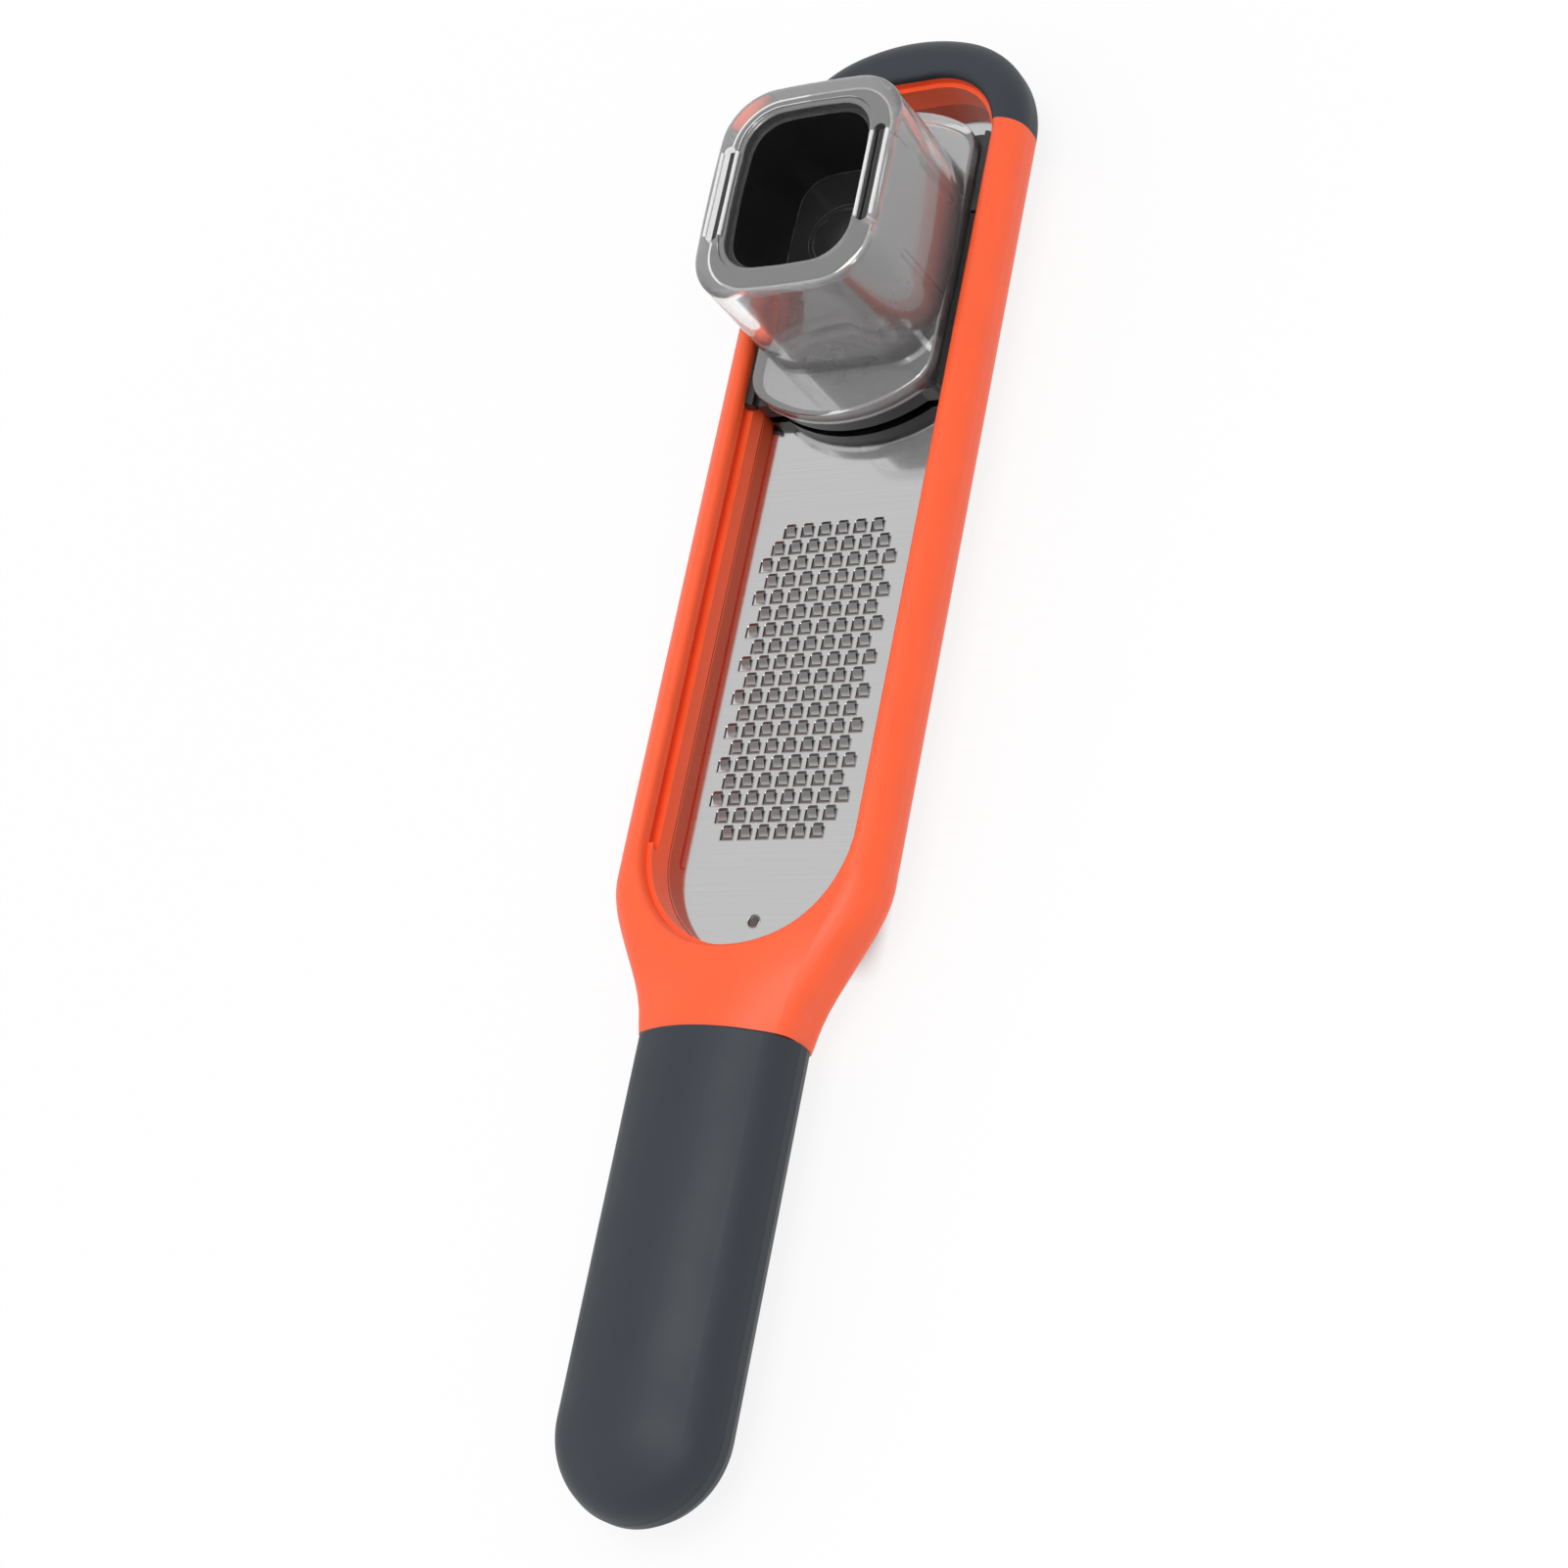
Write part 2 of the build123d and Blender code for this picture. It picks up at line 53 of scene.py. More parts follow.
# %% Place the camera
right = Vector((0.8553312, 0.1865006, -0.4833488))
upward = Vector((0.0308117, 0.9129955, 0.4068043))
backward = Vector((0.5171646, -0.3628452, 0.7751672))
camera_place = (0.3190, -0.23535, 0.4871)
camera_data = bpy.data.cameras.new("camera")
camera_data.sensor_width = 36
camera_data.lens = 74.1
camera_data.clip_start = 0.01
camera_data.clip_end = 20
camera = bpy.data.objects.new("camera", camera_data)
bpy.context.scene.collection.objects.link(camera)
turn = Matrix((right, upward, backward)).transposed()
camera.matrix_world = Matrix.Translation(camera_place) @ turn.to_4x4()
bpy.context.scene.camera = camera
bpy.context.scene.view_settings.view_transform = "Standard"
print("lens", camera_data.lens, "mm, distance", round(camera.location.length, 3), "m")

# %% [markdown]
# ## Small helpers for shader nodes
# A material is a small graph of nodes. Writing each node by hand takes many lines, so one helper adds a
# node and sets its inputs, where a value can be a number, a colour, or the output of another node. An
# input is named, with _ for a space, or numbered as i0, i1 and so on where several have the same name.


# %% A helper that adds a node
def add(tree, kind, settings=None, **inputs):
    node = tree.nodes.new("ShaderNode" + kind)
    for name, value in (settings or {}).items():
        setattr(node, name, value)
    for name, value in inputs.items():
        numbered = name[0] == "i" and name[1:].isdigit()
        socket = node.inputs[int(name[1:]) if numbered else name.replace("_", " ")]
        if isinstance(value, bpy.types.NodeSocket):
            tree.links.new(value, socket)
        else:
            socket.default_value = value
    return node


def use(tree, group, **inputs):
    return add(tree, "Group", {"node_tree": group}, **inputs).outputs


print("node helper ready")

# %% [markdown]
# Most graphs repeat a few steps: arithmetic, a value mapped from one range to another, and a mix of two
# values or of two colours. A noise lies mostly between 0.3 and 0.7, so one helper spreads just that part.

# %% Helpers for values and colours
noise_low = 0.3
noise_high = 0.7


def maths(tree, operation, first, second):
    return add(tree, "Math", {"operation": operation}, i0=first, i1=second).outputs[0]


def remap(tree, value, from_low, from_high, to_low=0.0, to_high=1.0):
    limits = {"i1": from_low, "i2": from_high, "i3": to_low, "i4": to_high}
    return add(tree, "MapRange", Value=value, **limits).outputs["Result"]


def varied(tree, noise, low, high):
    return remap(tree, noise, noise_low, noise_high, low, high)


def blend(tree, share, low, high):
    return add(tree, "Mix", {"data_type": "FLOAT"}, i0=share, i2=low, i3=high).outputs[0]


def tinted(tree, share, first, second):
    return add(tree, "Mix", {"data_type": "RGBA"}, i0=share, i6=first, i7=second).outputs[2]


def grey_of(tree, value):
    return add(tree, "CombineColor", Red=value, Green=value, Blue=value).outputs[0]


def facing_up(tree):
    normal = add(tree, "NewGeometry").outputs["True Normal"]
    return add(tree, "SeparateXYZ", Vector=normal).outputs["Z"]


print("value helpers ready")

# %% [markdown]
# A new material starts with an empty graph and ends with its output node, and a new group starts with its
# named inputs and outputs.


# %% Helpers that start and end a graph
def fresh(title):
    made = bpy.data.materials.new(title)
    made.use_nodes = True
    made.node_tree.nodes.clear()
    return made, made.node_tree


def show(tree, shader):
    add(tree, "OutputMaterial", Surface=shader.outputs[0])


def blank_group(title, wanted, given):
    group = bpy.data.node_groups.new(title, "ShaderNodeTree")
    for name, kind, value in wanted:
        socket = group.interface.new_socket(name, in_out="INPUT", socket_type="NodeSocket" + kind)
        socket.default_value = value
    for name, kind in given:
        group.interface.new_socket(name, in_out="OUTPUT", socket_type="NodeSocket" + kind)
    start = group.nodes.new("NodeGroupInput")
    end = group.nodes.new("NodeGroupOutput")
    return group, start.outputs, end.inputs


print("graph helpers ready")

# %% [markdown]
# ## Shared effects as node groups
# Several finishes on this tool share an effect. Moulded plastic has a very fine skin that breaks up its
# shine, so its group mixes two sizes of noise into a height. Each group is built once and placed in each
# material with values of its own.

# %% Group: moulded skin
skin, given, result = blank_group(
    "moulded_skin",
    [("Grain Scale", "Float", 900.0), ("Mottle Scale", "Float", 60.0), ("Grain Share", "Float", 0.6)],
    [("Height", "Float"), ("Mottle", "Float")],
)
place = add(skin, "TexCoord").outputs["Object"]
grain = add(skin, "TexNoise", Vector=place, Scale=given["Grain Scale"], Detail=3.0, Roughness=0.6)
mottle = add(skin, "TexNoise", Vector=place, Scale=given["Mottle Scale"], Detail=4.0, Roughness=0.55)
height = blend(skin, given["Grain Share"], mottle.outputs["Fac"], grain.outputs["Fac"])
skin.links.new(height, result["Height"])
skin.links.new(mottle.outputs["Fac"], result["Mottle"])
print("group", skin.name)

# %% [markdown]
# Handled plastic is rubbed a little lighter along its edges. The same group also paints a highlight along
# the edges of the black cup and the steel. The Bevel node gives a rounded normal, and where it differs from
# the flat one there is an edge. A noise makes the rub patchy.

# %% Group: edge rub and painted edge highlight
edge_starts = 0.995
edge_full = 0.80
rub_and_highlight, given, result = blank_group(
    "edge_rub_and_highlight",
    [
        ("Colour", "Color", (0.5, 0.5, 0.5, 1)),
        ("Rubbed Colour", "Color", (0.8, 0.8, 0.8, 1)),
        ("Width", "Float", 0.0006),
        ("Strength", "Float", 0.5),
    ],
    [("Colour", "Color"), ("Edge", "Float")],
)
soft = add(rub_and_highlight, "Bevel", {"samples": 6}, Radius=given["Width"]).outputs["Normal"]
flat = add(rub_and_highlight, "NewGeometry").outputs["True Normal"]
same = add(rub_and_highlight, "VectorMath", {"operation": "DOT_PRODUCT"}, i0=soft, i1=flat).outputs["Value"]
edge = remap(rub_and_highlight, same, edge_starts, edge_full)
place = add(rub_and_highlight, "TexCoord").outputs["Object"]
patchy = add(rub_and_highlight, "TexNoise", Vector=place, Scale=260.0, Detail=3.0).outputs["Fac"]
patch = remap(rub_and_highlight, patchy, 0.35, 0.65, 0.2, 1.0)
# The lighter edge is rub on handled plastic, and a painted highlight on the cup and the steel.
worn_and_highlit = maths(rub_and_highlight, "MULTIPLY", edge, patch)
share = maths(rub_and_highlight, "MULTIPLY", worn_and_highlit, given["Strength"])
rub_and_highlight.links.new(tinted(rub_and_highlight, share, given["Colour"], given["Rubbed Colour"]), result["Colour"])
rub_and_highlight.links.new(share, result["Edge"])
print("group", rub_and_highlight.name)

# %% [markdown]
# Dust is a sparse set of specks. A Voronoi texture gives cells, each with a random colour. Only the middle
# of a cell counts, and only in the few cells whose red is below the amount.

# %% Group: dust specks
speck_edge = 0.16
speck_middle = 0.08
dust, given, result = blank_group(
    "dust_specks",
    [("Scale", "Float", 1400.0), ("Amount", "Float", 0.004)],
    [("Speck", "Float")],
)
place = add(dust, "TexCoord").outputs["Object"]
cells = add(dust, "TexVoronoi", Vector=place, Scale=given["Scale"])
small = remap(dust, cells.outputs["Distance"], speck_edge, speck_middle)
chance = add(dust, "SeparateColor", Color=cells.outputs["Color"]).outputs["Red"]
few = maths(dust, "LESS_THAN", chance, given["Amount"])
dust.links.new(maths(dust, "MULTIPLY", small, few), result["Speck"])
print("group", dust.name)

# %% [markdown]
# Rolled sheet has fine lines across it. A noise that is stretched far more one way than the other gives
# such lines.

# %% Group: rolled lines
rolled, given, result = blank_group(
    "rolled_lines",
    [("Along", "Float", 30.0), ("Across", "Float", 2600.0)],
    [("Lines", "Float")],
)
place = add(rolled, "TexCoord").outputs["Object"]
stretch = add(rolled, "CombineXYZ", X=given["Along"], Y=given["Across"], Z=60.0).outputs[0]
long = add(rolled, "VectorMath", {"operation": "MULTIPLY"}, i0=place, i1=stretch).outputs[0]
lines = add(rolled, "TexNoise", Vector=long, Scale=1.0, Detail=4.0, Roughness=0.7)
rolled.links.new(lines.outputs["Fac"], result["Lines"])
print("group", rolled.name)

# %% [markdown]
# ## Opaque plastics
# The orange moulding, the soft grip and the black holder are all moulded, so they share one recipe with
# different values: a base colour that drifts slightly, lighter edges, a few specks of dust, roughness that
# follows the mottle, and a bump from the fine skin. The lighter edges are rub on the frame, the grip and the
# base, and a painted highlight on the cup. The recipe is a function, and each finish is one call.

# %% The plastic recipe
mottle_scale = 70.0
skin_depth = 0.0002
dust_colour = (0.7, 0.7, 0.68, 1)


def plastic(
    title, colour, rubbed, drift, rough, rough_spread, bump, grain, specks, strength=0.35, width=0.0006
):
    made, tree = fresh(title)
    surface = use(tree, skin, Grain_Scale=grain, Mottle_Scale=mottle_scale)
    shift = varied(tree, surface["Mottle"], 1 - drift, 1 + drift)
    base = add(tree, "HueSaturation", Value=shift, Color=(*colour, 1)).outputs["Color"]
    edges = use(tree, rub_and_highlight, Colour=base, Rubbed_Colour=(*rubbed, 1), Width=width, Strength=strength)
    dots = use(tree, dust, Amount=specks)["Speck"]
    dusty = tinted(tree, dots, edges["Colour"], dust_colour)
    spread = varied(tree, surface["Mottle"], rough - rough_spread, rough + rough_spread)
    relief = add(tree, "Bump", Strength=bump, Distance=skin_depth, Height=surface["Height"]).outputs["Normal"]
    shader = add(tree, "BsdfPrincipled", Base_Color=dusty, Roughness=spread, Normal=relief)
    show(tree, shader)
    return made, shader


def dress(node, made):
    mesh = nodes[node].data
    mesh.materials.clear()
    mesh.materials.append(made)
    print(node, "wears", made.name)


# %% Orange frame
orange, shader = plastic(
    "orange_moulding",
    colour=(0.95, 0.112, 0.030),
    rubbed=(1.0, 0.22, 0.11),
    drift=0.045,
    rough=0.42,
    rough_spread=0.05,
    bump=0.10,
    grain=1500.0,
    specks=0.0003,
)
shader.inputs["Specular IOR Level"].default_value = 0.4
shader.inputs["Subsurface Weight"].default_value = 0.06
shader.inputs["Subsurface Radius"].default_value = (1.0, 0.3, 0.1)
shader.inputs["Subsurface Scale"].default_value = 0.002
dress("frame", orange)

# %% Soft grip and tip cap
soft_touch, shader = plastic(
    "soft_touch",
    colour=(0.022, 0.027, 0.036),
    rubbed=(0.06, 0.067, 0.08),
    drift=0.05,
    rough=0.50,
    rough_spread=0.05,
    bump=0.12,
    grain=1900.0,
    specks=0.0006,
)
shader.inputs["Specular IOR Level"].default_value = 0.36
dress("handle_grip", soft_touch)
dress("tip_cap", soft_touch)

# %% [markdown]
# The base of the holder is satin black. The cup is the same black, but smoother, and its edges are painted
# narrow and light, a painted highlight that draws them as fine pale lines.

# %% Black base of the holder
black, _ = plastic(
    "black_moulding",
    colour=(0.014, 0.014, 0.015),
    rubbed=(0.05, 0.05, 0.052),
    drift=0.06,
    rough=0.30,
    rough_spread=0.05,
    bump=0.06,
    grain=1300.0,
    specks=0.0006,
)
dress("carriage", black)

# %% Smoother black cup
smooth_black, _ = plastic(
    "black_cup",
    colour=(0.012, 0.012, 0.013),
    # This light edge colour is a painted highlight along the cup's edges.
    rubbed=(0.30, 0.30, 0.31),
    drift=0.06,
    rough=0.22,
    rough_spread=0.04,
    bump=0.04,
    grain=1300.0,
    specks=0.0006,
    strength=0.8,
    width=0.0002,
)
dress("pusher_cup", smooth_black)

# %% [markdown]
# ## Steel
# The plate is rolled stainless sheet, almost a mirror, with faint lines across it from the rolls. A metal
# has no colour of its own beyond its reflections, so the lines vary its roughness a little, and a very
# weak bump smears the mirror image across the plate, as the photograph shows next to the rails.
# Near its edge the plate has a light border, which is a painted highlight, and a fine dark seam, which is a
# painted shade next to the frame. Both are masks over the distance from a line along the middle of the
# plate, which ends where the round end begins.

# %% Sizes of the plate
blade_low, blade_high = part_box("blade")
tooth_rise = 0.0006
tooth_dip = 0.0005
edge_hidden = 0.0015
highlight_border_starts = 0.0005
highlight_border_full = 0.0003
shade_seam_starts = 0.00016
shade_seam_full = 0.00008
steel_top = blade_high[2] - tooth_rise
edge_at = blade_high[0] - edge_hidden
round_y = blade_low[1] + blade_high[0]
print("steel at z =", round(steel_top, 5))

# %% Masks for the painted highlight on the border and the painted shade in the seam
steel, tree = fresh("rolled_steel")
place = add(tree, "TexCoord").outputs["Object"]
centre = add(tree, "Mapping", Vector=place, Location=(0, -round_y, 0)).outputs[0]
spot = add(tree, "SeparateXYZ", Vector=centre).outputs
behind = maths(tree, "MINIMUM", spot["Y"], 0.0)
arm = add(tree, "CombineXYZ", X=spot["X"], Y=behind).outputs[0]
reach = add(tree, "VectorMath", {"operation": "LENGTH"}, i0=arm).outputs["Value"]
# Painted highlight along the border, then painted shade in the seam next to the frame.
highlight_border = remap(tree, reach, edge_at - highlight_border_starts, edge_at - highlight_border_full)
shade_seam = remap(tree, reach, edge_at - shade_seam_starts, edge_at - shade_seam_full)
print("edge of the opening at x =", round(edge_at, 5))

# %% [markdown]
# The faces that don't lie level belong to the teeth. They are rougher than the sheet and painted darker,
# a painted shade that gets deeper towards their top.

# %% Rolled steel
highlight_border_tone = 0.78
shade_seam_tone = 0.10
tooth_low_shade = 0.38
tooth_top_shade = 0.17
tooth_rough = 0.35
steel_edge_highlight = (0.95, 0.95, 0.95, 1)
lines = use(tree, rolled)["Lines"]
level = remap(tree, facing_up(tree), 0.90, 0.98)
height = add(tree, "SeparateXYZ", Vector=place).outputs["Z"]
# Painted shade on the sloping faces of the teeth, deepest at their top.
tooth_shade = remap(tree, height, steel_top - tooth_dip, steel_top, tooth_low_shade, tooth_top_shade)
# The light border is a painted highlight and the dark seam a painted shade.
tone = blend(tree, highlight_border, varied(tree, lines, 0.51, 0.54), highlight_border_tone)
tone = blend(tree, shade_seam, tone, shade_seam_tone)
grey = grey_of(tree, blend(tree, level, tooth_shade, tone))
# The steel's edges are painted much lighter, a painted highlight along the sheet, the holes and the teeth.
edges = use(tree, rub_and_highlight, Colour=grey, Rubbed_Colour=steel_edge_highlight, Width=0.00015, Strength=0.5)
gloss = blend(tree, level, tooth_rough, varied(tree, lines, 0.07, 0.12))
relief = add(tree, "Bump", Strength=0.02, Distance=0.00005, Height=lines).outputs["Normal"]
shader = add(tree, "BsdfPrincipled", Base_Color=edges["Colour"], Roughness=gloss, Normal=relief, Metallic=1.0)
show(tree, shader)
dress("blade", steel)

# %% [markdown]
# ## Clear plastic
# The pusher cap is moulded in a clear plastic. Over the black chute it looks grey, because its faces mirror
# the bright room. A thin even wall hardly bends what is seen through it, so the index of refraction is kept
# low and a coat with a high index gives the shine. The coat is full on faces that look up, such as the rim,
# and thin on the upright walls, which is a painted sheen that makes the rim lighter and the walls plainer.
# The mask feeds Coat Weight and not an index. Faint ripples stand for the flow of the melt.

# %% Clear cap
wall_sheen_coat = 0.35
rim_sheen_coat = 1.0
clear_colour = (0.97, 0.975, 0.98, 1)
clear, tree = fresh("clear_moulding")
surface = use(tree, skin, Grain_Scale=120.0, Mottle_Scale=45.0, Grain_Share=0.1)
relief = add(tree, "Bump", Strength=0.015, Distance=0.0004, Height=surface["Height"]).outputs["Normal"]
haze = varied(tree, surface["Mottle"], 0.01, 0.03)
# Painted sheen: more coat on faces that look up.
sheen_coat_mask = remap(tree, facing_up(tree), 0.6, 0.95, wall_sheen_coat, rim_sheen_coat)
shader = add(tree, "BsdfPrincipled", Base_Color=clear_colour, Roughness=haze, Normal=relief, Coat_Weight=sheen_coat_mask)
shader.inputs["Transmission Weight"].default_value = 0.93
shader.inputs["IOR"].default_value = 1.18
shader.inputs["Coat IOR"].default_value = 2.35
shader.inputs["Coat Roughness"].default_value = 0.03
clear_shader = shader.name
show(tree, shader)
dress("pusher_cap", clear)

# %% [markdown]
# Fine beads on the rim look whiter than the rest, a painted highlight along the slot edges, so they get a
# copy of this material that lets less light through.

# %% Frosted clear plastic for the painted highlight on the beads
frosted_highlight = clear.copy()
frosted_highlight.name = "frosted_clear_highlight"
# Letting less light through makes the beads white, a painted highlight.
frosted_highlight.node_tree.nodes[clear_shader].inputs["Transmission Weight"].default_value = 0.35
print("made", frosted_highlight.name)

# %% [markdown]
# ## Fine pieces on the steel
# The teeth are taken to be pressed out of the sheet, which leaves a low bright rim round every hole and a
# small sharp curl at one corner of the crest. They are far too small for the solid model, so they are made
# here: one rim, copied along a row by an Array modifier, and one row for each row of teeth.


# %% Helpers that shape and settle a piece
def deselect():
    bpy.ops.object.select_all(action="DESELECT")


def only(piece):
    deselect()
    piece.select_set(True)
    bpy.context.view_layer.objects.active = piece


def modify(piece, kind, **settings):
    modifier = piece.modifiers.new(kind.lower(), kind)
    for name, value in settings.items():
        setattr(modifier, name, value)
    only(piece)
    bpy.ops.object.modifier_apply(modifier=modifier.name)


def settle(pieces, title, made, body):
    only(pieces[0])
    for piece in pieces:
        piece.select_set(True)
    bpy.ops.object.join()
    joined = bpy.context.object
    joined.name = title
    bpy.ops.object.transform_apply(location=True, rotation=True, scale=True)
    joined.data.materials.clear()
    joined.data.materials.append(made)
    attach(joined, body)
    print(title, len(joined.data.polygons), "faces")


# %% Burnished steel, painted lighter for a glint
glint_steel, tree = fresh("burnished_glint_steel")
lines = use(tree, rolled, Along=900.0, Across=900.0)["Lines"]
# The lighter grey is a painted glint on each curl.
grey = grey_of(tree, varied(tree, lines, 0.78, 0.95))
gloss = varied(tree, lines, 0.15, 0.3)
relief = add(tree, "Bump", Strength=0.1, Distance=0.00005, Height=lines).outputs["Normal"]
shader = add(tree, "BsdfPrincipled", Base_Color=grey, Roughness=gloss, Normal=relief, Metallic=1.0)
show(tree, shader)
print("made", glint_steel.name)

# %% Sizes of the tooth pattern
tooth_pitch = 0.004
row_pitch = 0.00362
row_counts = [6] + [7, 8] * 8 + [7, 6]
hole_width = 0.0029
hole_length = 0.0023
tooth_width = 0.0019
rows_from_edge = 0.0267
hole_from_edge = 0.0088
hole_radius = 0.0012
burr = 0.00012
curl = 0.00034
curl_turn = (0.6, 0.5, 0.4)
print("teeth", sum(row_counts))


# %% One row of burr rims and one row of curls
def along_row(piece, count, x, y, z):
    step = (tooth_pitch, 0, 0)
    offset = {"use_relative_offset": False, "use_constant_offset": True, "constant_offset_displace": step}
    modify(piece, "ARRAY", count=count, **offset)
    piece.location = (x - (count - 1) / 2 * tooth_pitch, y, z)
    return piece


def burr_rim():
    deselect()
    bpy.ops.mesh.primitive_plane_add(size=1, location=(0, 0, 0))
    rim = bpy.context.object
    bpy.ops.object.mode_set(mode="EDIT")
    bpy.ops.transform.resize(value=(hole_width + 2 * burr, hole_length + 2 * burr, 1))
    bpy.ops.mesh.inset(thickness=burr)
    bpy.ops.mesh.delete(type="FACE")
    bpy.ops.object.mode_set(mode="OBJECT")
    modify(rim, "SOLIDIFY", thickness=burr, offset=0.4)
    modify(rim, "BEVEL", width=0.3 * burr, segments=2)
    return rim


def curl_tip():
    deselect()
    bpy.ops.mesh.primitive_cube_add(size=curl, location=(0, 0, 0), rotation=curl_turn)
    tip = bpy.context.object
    bpy.ops.object.transform_apply(location=False, rotation=True, scale=False)
    modify(tip, "BEVEL", width=0.25 * curl, segments=2)
    return tip


# %% All burrs on the plate
rims = []
curls = []
curl_z = steel_top + tooth_rise - curl / 2
for row, count in enumerate(reversed(row_counts)):
    y = blade_low[1] + rows_from_edge + row * row_pitch
    rims.append(along_row(burr_rim(), count, 0, y, steel_top))
    curls.append(along_row(curl_tip(), count, -tooth_width / 2, y + hole_length / 2, curl_z))
deselect()
bpy.ops.mesh.primitive_torus_add(
    location=(0, blade_low[1] + hole_from_edge, steel_top),
    major_radius=hole_radius + burr,
    minor_radius=burr,
    major_segments=48,
    minor_segments=8,
)
rims.append(bpy.context.object)
settle(rims, "burr_rims", steel, "tool")
settle(curls, "tooth_curls", glint_steel, "tool")

# %% [markdown]
# ## Beads along the clip slots
# The clear rim has two slots for the cup's tabs. The photograph shows two white lines with a dark core at
# each, so each long edge of a slot gets a fine rounded bead.

# %% Slot beads
cap_low, cap_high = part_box("pusher_cap")
holder_y = (cap_low[1] + cap_high[1]) / 2
clip_x = 0.017
slot_width = 0.0026
slot_straight = 0.0194
bead_radius = 0.0004
bead_z = cap_high[2] - 0.4 * bead_radius
beads = []
for side in (-1, 1):
    for edge in (-1, 1):
        deselect()
        bead_x = side * clip_x + edge * (slot_width / 2 + bead_radius)
        bpy.ops.mesh.primitive_cylinder_add(
            vertices=20,
            radius=bead_radius,
            depth=slot_straight,
            location=(bead_x, holder_y, bead_z),
            rotation=(pi / 2, 0, 0),
        )
        bead = bpy.context.object
        modify(bead, "BEVEL", width=0.4 * bead_radius, segments=3)
        beads.append(bead)
# The beads wear the whiter clear plastic, a painted highlight along each long edge of a slot.
settle(beads, "slot_beads", frosted_highlight, "pusher")

# %% [markdown]
# ## Slits in the chute
# Two upright slits in the side wall of the black chute show through the clear plastic as a wider and a
# finer dark line. The photograph shows them on the right, and the hidden left wall is taken to be alike.
# Each is a thin matt strip laid on the wall, a painted shade in place of the dark inside of a slit. The wall
# bows outwards in its middle, so a strip further from the middle sits a little further in.

# %% Matt black for the painted shade of the slits
# Matt black strips, a painted shade in place of the dark inside of each slit.
slit_shade_material, tree = fresh("matt_slit_shade")
dark = grey_of(tree, varied(tree, use(tree, skin)["Mottle"], 0.0015, 0.004))
shader = add(tree, "BsdfPrincipled", Base_Color=dark)
shader.inputs["Roughness"].default_value = 0.95
shader.inputs["Specular IOR Level"].default_value = 0.0
show(tree, shader)
print("made", slit_shade_material.name)

# %% Painted slit shades on both walls: place along the chute, width, lower end and upper end of each
chute_wall_x = 0.0181
chute_bow = 0.0009
chute_side_y = 0.0209
slit_proud = 0.00006
slit_places = [(0.0114, 0.0014, 0.0195, 0.0350), (-0.0088, 0.0005, 0.0165, 0.0338)]
slit_shades = []
for side in (-1, 1):
    for along, width, low, high in slit_places:
        deselect()
        wall_x = chute_wall_x - chute_bow * (along / chute_side_y) ** 2
        spot = (side * wall_x, holder_y + along, (low + high) / 2)
        bpy.ops.mesh.primitive_cube_add(size=1, location=spot)
        slit_shade_strip = bpy.context.object
        slit_shade_strip.scale = (2 * slit_proud, width, high - low)
        bpy.ops.object.transform_apply(location=False, rotation=False, scale=True)
        modify(slit_shade_strip, "BEVEL", width=0.3 * slit_proud, segments=1)
        slit_shades.append(slit_shade_strip)
settle(slit_shades, "chute_slit_shades", slit_shade_material, "holder")

# %% [markdown]
# ## Floor, backdrop and light
# The product stands on white. A white floor lit hard enough to be white would also burn out the tool, so
# the floor glows white only to the camera, to reflections and to light that comes through glass, by the
# Light Path node. It keeps part of its real shading near the tool, which holds the shadow. Under the plate
# it is dark and tinted, because there the table lies in the tool's own shade.


# %% Mask for the rays that should see white
def seen_directly(tree):
    path = add(tree, "LightPath").outputs
    direct = maths(tree, "MAXIMUM", path["Is Camera Ray"], path["Is Glossy Ray"])
    return maths(tree, "MAXIMUM", direct, path["Is Transmission Ray"])


print("ray mask ready")

# %% Mask for the floor under the plate
paper, tree = fresh("white_sweep")
place = add(tree, "TexCoord").outputs["Object"]
way = add(tree, "SeparateXYZ", Vector=place).outputs
middle_y = (blade_low[1] + blade_high[1]) / 2
half_x = (blade_high[0] - blade_low[0]) / 2
half_y = (blade_high[1] - blade_low[1]) / 2
aside = add(tree, "Math", {"operation": "ABSOLUTE"}, i0=way["X"]).outputs[0]
from_middle = maths(tree, "SUBTRACT", way["Y"], middle_y)
along = add(tree, "Math", {"operation": "ABSOLUTE"}, i0=from_middle).outputs[0]
in_x = remap(tree, aside, half_x, 0.8 * half_x)
in_y = remap(tree, along, half_y, 0.9 * half_y)
under = maths(tree, "MULTIPLY", in_x, in_y)
print("plate's shade is", round(2000 * half_x), "by", round(2000 * half_y), "mm")

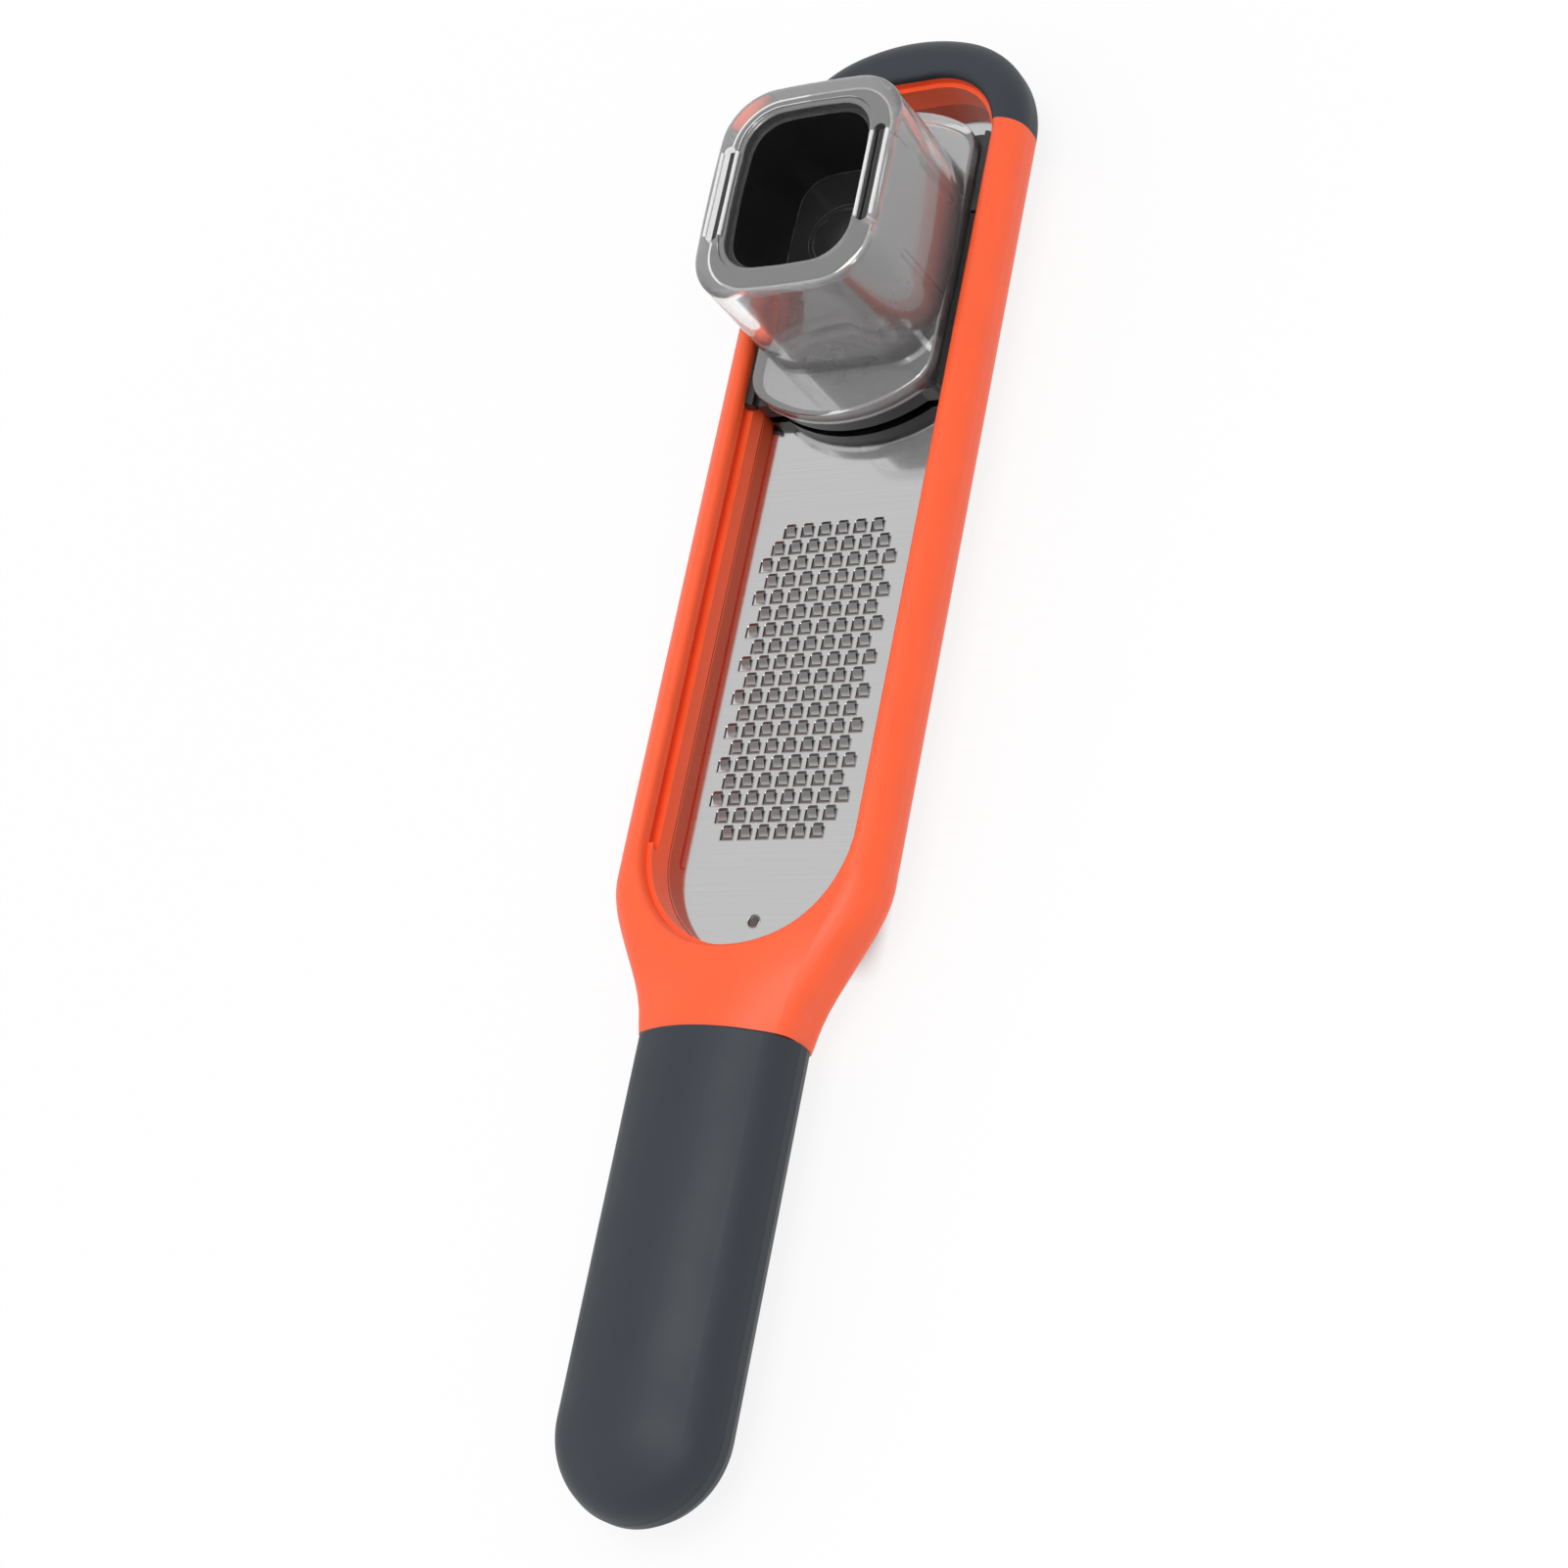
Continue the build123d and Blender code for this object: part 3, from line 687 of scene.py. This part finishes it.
# %% Floor
near_reach = 0.16
far_reach = 0.34
near_glow = 0.86
under_glow = 0.08
open_shade = (0.9, 0.9, 0.9, 1)
under_shade = (0.34, 0.22, 0.20, 1)
reach = add(tree, "VectorMath", {"operation": "LENGTH"}, i0=place).outputs["Value"]
away = remap(tree, reach, near_reach, far_reach, near_glow, 1.0)
part = maths(tree, "MULTIPLY", seen_directly(tree), blend(tree, under, away, under_glow))
matt = add(tree, "BsdfDiffuse", Color=tinted(tree, under, open_shade, under_shade)).outputs[0]
glow = add(tree, "Emission", Color=(1, 1, 1, 1), Strength=1.0).outputs[0]
show(tree, add(tree, "MixShader", i0=part, i1=matt, i2=glow))
deselect()
bpy.ops.mesh.primitive_plane_add(size=6, location=(0, 0, 0))
floor = bpy.context.object
floor.name = "floor"
floor.data.materials.append(paper)
print("floor at z =", floor.location.z)

# %% [markdown]
# The world does the same: it is white to the same rays, and lights the tool softly from all round.

# %% World
room_light = 0.68
world = bpy.data.worlds.new("studio")
bpy.context.scene.world = world
world.use_nodes = True
tree = world.node_tree
tree.nodes.clear()
room = add(tree, "Background", Color=(1, 1, 1, 1), Strength=room_light).outputs[0]
white = add(tree, "Background", Color=(1, 1, 1, 1), Strength=1.0).outputs[0]
both = add(tree, "MixShader", i0=seen_directly(tree), i1=room, i2=white).outputs[0]
add(tree, "OutputWorld", Surface=both)
print("world", world.name)

# %% [markdown]
# Three square lamps shape the tool: a large one overhead, a very large weak one from the left and front,
# and a small one from the right that draws the highlights along the edges.


# %% Lamps
def softbox(title, place, aim, size, power):
    lamp = bpy.data.lights.new(title, "AREA")
    lamp.shape = "SQUARE"
    lamp.size = size
    lamp.energy = power
    box = bpy.data.objects.new(title, lamp)
    bpy.context.scene.collection.objects.link(box)
    box.location = place
    box.rotation_euler = (Vector(aim) - Vector(place)).to_track_quat("-Z", "Y").to_euler()
    print(title, "at", place, power, "W")


softbox("key_light", place=(0.15, 0.0, 1.2), aim=(0, 0, 0), size=0.6, power=5.0)
softbox("fill_light", place=(-0.9, -0.7, 0.7), aim=(0, 0, 0), size=1.4, power=1.6)
softbox("edge_light", place=(0.75, -0.45, 1.0), aim=(0, 0.1, 0), size=0.2, power=1.6)
